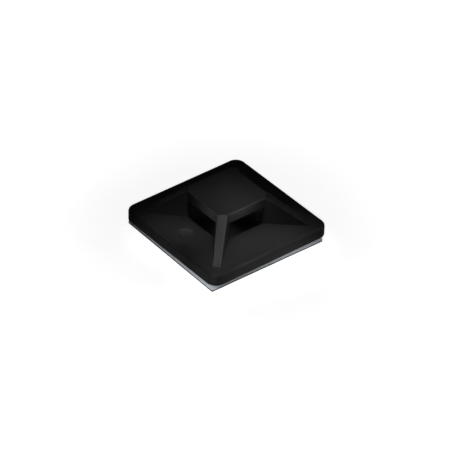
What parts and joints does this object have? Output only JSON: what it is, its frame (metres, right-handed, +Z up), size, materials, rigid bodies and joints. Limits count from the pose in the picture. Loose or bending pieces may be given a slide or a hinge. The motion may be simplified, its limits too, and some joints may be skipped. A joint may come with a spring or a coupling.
{
  "type": "cable tie mount",
  "caption": "Square self-adhesive mount with a small open tower that a cable tie crosses either way, braced by corner webs, on a foam pad with its liner still on.",
  "frame": {"origin": "centre of the square base, at the underside of the release liner that it rests on", "axes": "+Z up, away from the surface that the mount is stuck to; the two tie tunnels run along X and Y; the gate mark lies on the -Y side of the tower"},
  "size_m": [0.03, 0.03, 0.0097],
  "materials": {
    "black_nylon": "satin",
    "pale_foam": "matte",
    "liner_paper": "matte"
  },
  "bodies": {
    "root": {"mount_body": "black_nylon", "foam_pad": "pale_foam", "release_liner": "liner_paper"}
  },
  "joints": []
}
